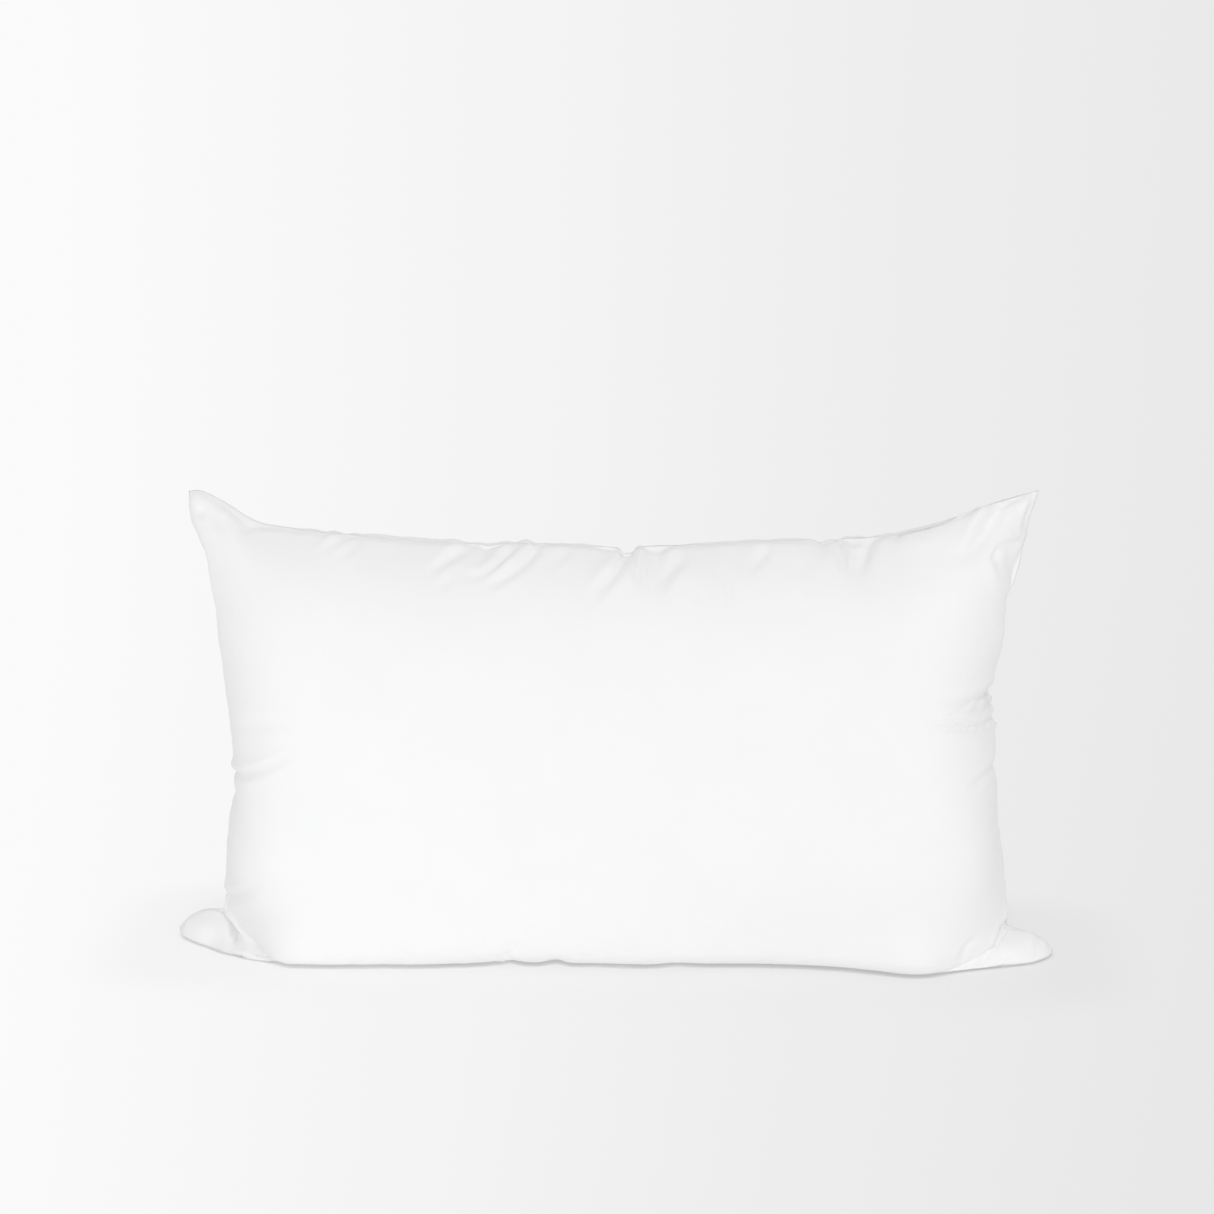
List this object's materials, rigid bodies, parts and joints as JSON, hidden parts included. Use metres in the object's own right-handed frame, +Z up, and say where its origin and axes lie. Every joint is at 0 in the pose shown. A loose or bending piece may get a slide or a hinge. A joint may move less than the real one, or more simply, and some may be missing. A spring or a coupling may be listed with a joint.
{
  "type": "oblong bed pillow",
  "caption": "Filled oblong pillow of plain white cotton with knife-edge turned seams and pinched corners, standing on its long edge.",
  "frame": {"origin": "on the surface that the pillow stands on, under the middle of its bounding box", "axes": "+X along the pillow's length, +Z up, and the front panel faces -Y"},
  "size_m": [0.6041, 0.162, 0.322],
  "materials": {
    "cotton_cambric": "tightly woven plain cotton, matt with a slight calendered sheen",
    "filling": "loose lofty filling",
    "sewing_thread": "spun thread",
    "label_tape": "blank woven satin tape"
  },
  "bodies": {
    "root": {"front_panel": "cotton_cambric", "back_panel": "cotton_cambric", "fill": "filling", "seam_needle_thread": "sewing_thread", "seam_bobbin_thread": "sewing_thread", "closing_thread": "sewing_thread", "overlock_thread": "sewing_thread", "care_label": "label_tape"}
  },
  "joints": []
}
